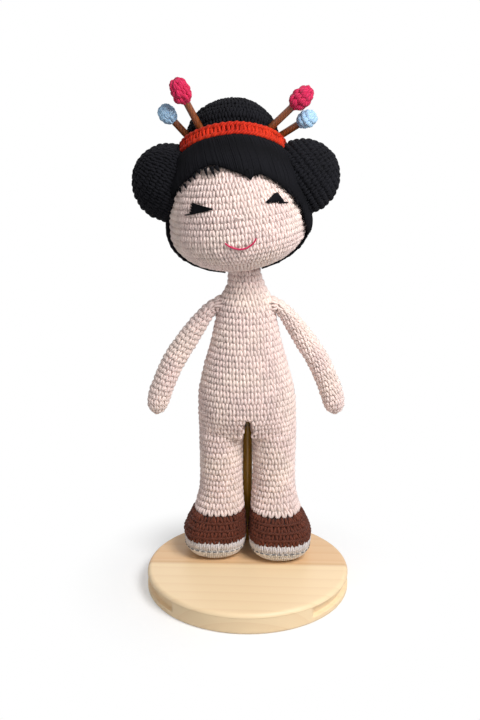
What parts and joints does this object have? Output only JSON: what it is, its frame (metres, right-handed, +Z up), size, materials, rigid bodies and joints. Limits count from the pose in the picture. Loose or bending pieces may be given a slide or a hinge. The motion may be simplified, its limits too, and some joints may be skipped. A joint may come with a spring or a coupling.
{
  "type": "crocheted doll",
  "caption": "Crocheted doll with stuffed head, torso, arms and legs, black hair buns with wooden hair sticks and brown shoes, held upright by a rod on a round pine stand.",
  "frame": {"origin": "centre of the board's flat underside", "axes": "+Z up, the doll faces -Y, its left hand is at +X"},
  "size_m": [0.1262, 0.1336, 0.297],
  "materials": {
    "pine": "sanded and waxed pine",
    "varnished_rod": "dark varnished wood rod",
    "skin_cotton": "single crochet in pale pink cotton",
    "brown_cotton": "single crochet in dark brown cotton",
    "sole_cotton": "single crochet in stone grey cotton",
    "black_cotton": "single crochet and satin stitch in black cotton",
    "red_cotton": "crocheted band in brick red cotton",
    "pink_cotton": "single crochet in crimson cotton",
    "blue_cotton": "single crochet in light blue cotton",
    "stick_wood": "stained and oiled wood",
    "stuffing": "polyester fibre filling",
    "dowel_wood": "plain wood dowel",
    "mouth_thread": "crimson embroidery thread"
  },
  "bodies": {
    "stand": {"base_board": "pine", "stand_rod": "varnished_rod"},
    "doll": {"torso_skin": "skin_cotton", "torso_filling": "stuffing", "neck_dowel": "dowel_wood", "left_leg_skin": "skin_cotton", "left_leg_filling": "stuffing", "left_shoe_sole": "sole_cotton", "left_shoe_upper": "brown_cotton", "right_leg_skin": "skin_cotton", "right_leg_filling": "stuffing", "right_shoe_sole": "sole_cotton", "right_shoe_upper": "brown_cotton"},
    "head": {"head_skin": "skin_cotton", "head_filling": "stuffing", "hair_cap": "black_cotton", "fringe_strands": "black_cotton", "hair_band": "red_cotton", "top_bun_skin": "black_cotton", "top_bun_filling": "stuffing", "left_bun_skin": "black_cotton", "left_bun_filling": "stuffing", "right_bun_skin": "black_cotton", "right_bun_filling": "stuffing", "left_eye": "black_cotton", "right_eye": "black_cotton", "mouth": "mouth_thread", "nose_stitch": "skin_cotton"},
    "left_arm": {"left_arm_skin": "skin_cotton", "left_arm_filling": "stuffing"},
    "right_arm": {"right_arm_skin": "skin_cotton", "right_arm_filling": "stuffing"},
    "left_pink_hair_stick": {"left_pink_stick": "stick_wood", "left_pink_bobble": "pink_cotton"},
    "left_blue_hair_stick": {"left_blue_stick": "stick_wood", "left_blue_bobble": "blue_cotton"},
    "right_pink_hair_stick": {"right_pink_stick": "stick_wood", "right_pink_bobble": "pink_cotton"},
    "right_blue_hair_stick": {"right_blue_stick": "stick_wood", "right_blue_bobble": "blue_cotton"}
  },
  "joints": [
    {"name": "doll_lift", "type": "slide", "parent": "stand", "child": "doll", "axis": [0, 0, 1], "range_m": [0, 0.058]},
    {"name": "head_turn", "type": "hinge", "parent": "doll", "child": "head", "pos_m": [-0.0026, 0.026, 0.1885], "axis": [-0.1132, 0, 0.9936], "range_deg": [-20, 20], "stiffness_Nm_per_rad": 0.1},
    {"name": "left_arm_swing", "type": "hinge", "parent": "doll", "child": "left_arm", "pos_m": [0.01576, 0.026, 0.16777], "axis": [1, 0, 0], "range_deg": [-90, 45], "stiffness_Nm_per_rad": 0.003},
    {"name": "right_arm_swing", "type": "hinge", "parent": "doll", "child": "right_arm", "pos_m": [-0.01784, 0.026, 0.16777], "axis": [1, 0, 0], "range_deg": [-90, 45], "stiffness_Nm_per_rad": 0.003},
    {"name": "left_pink_stick_pull", "type": "slide", "parent": "head", "child": "left_pink_hair_stick", "axis": [0.689, -0.2185, 0.691], "range_m": [0, 0.018]},
    {"name": "left_blue_stick_pull", "type": "slide", "parent": "head", "child": "left_blue_hair_stick", "axis": [0.783, -0.3115, 0.5384], "range_m": [0, 0.018]},
    {"name": "right_pink_stick_pull", "type": "slide", "parent": "head", "child": "right_pink_hair_stick", "axis": [-0.4355, -0.2284, 0.8707], "range_m": [0, 0.018]},
    {"name": "right_blue_stick_pull", "type": "slide", "parent": "head", "child": "right_blue_hair_stick", "axis": [-0.6408, -0.2171, 0.7364], "range_m": [0, 0.018]}
  ]
}
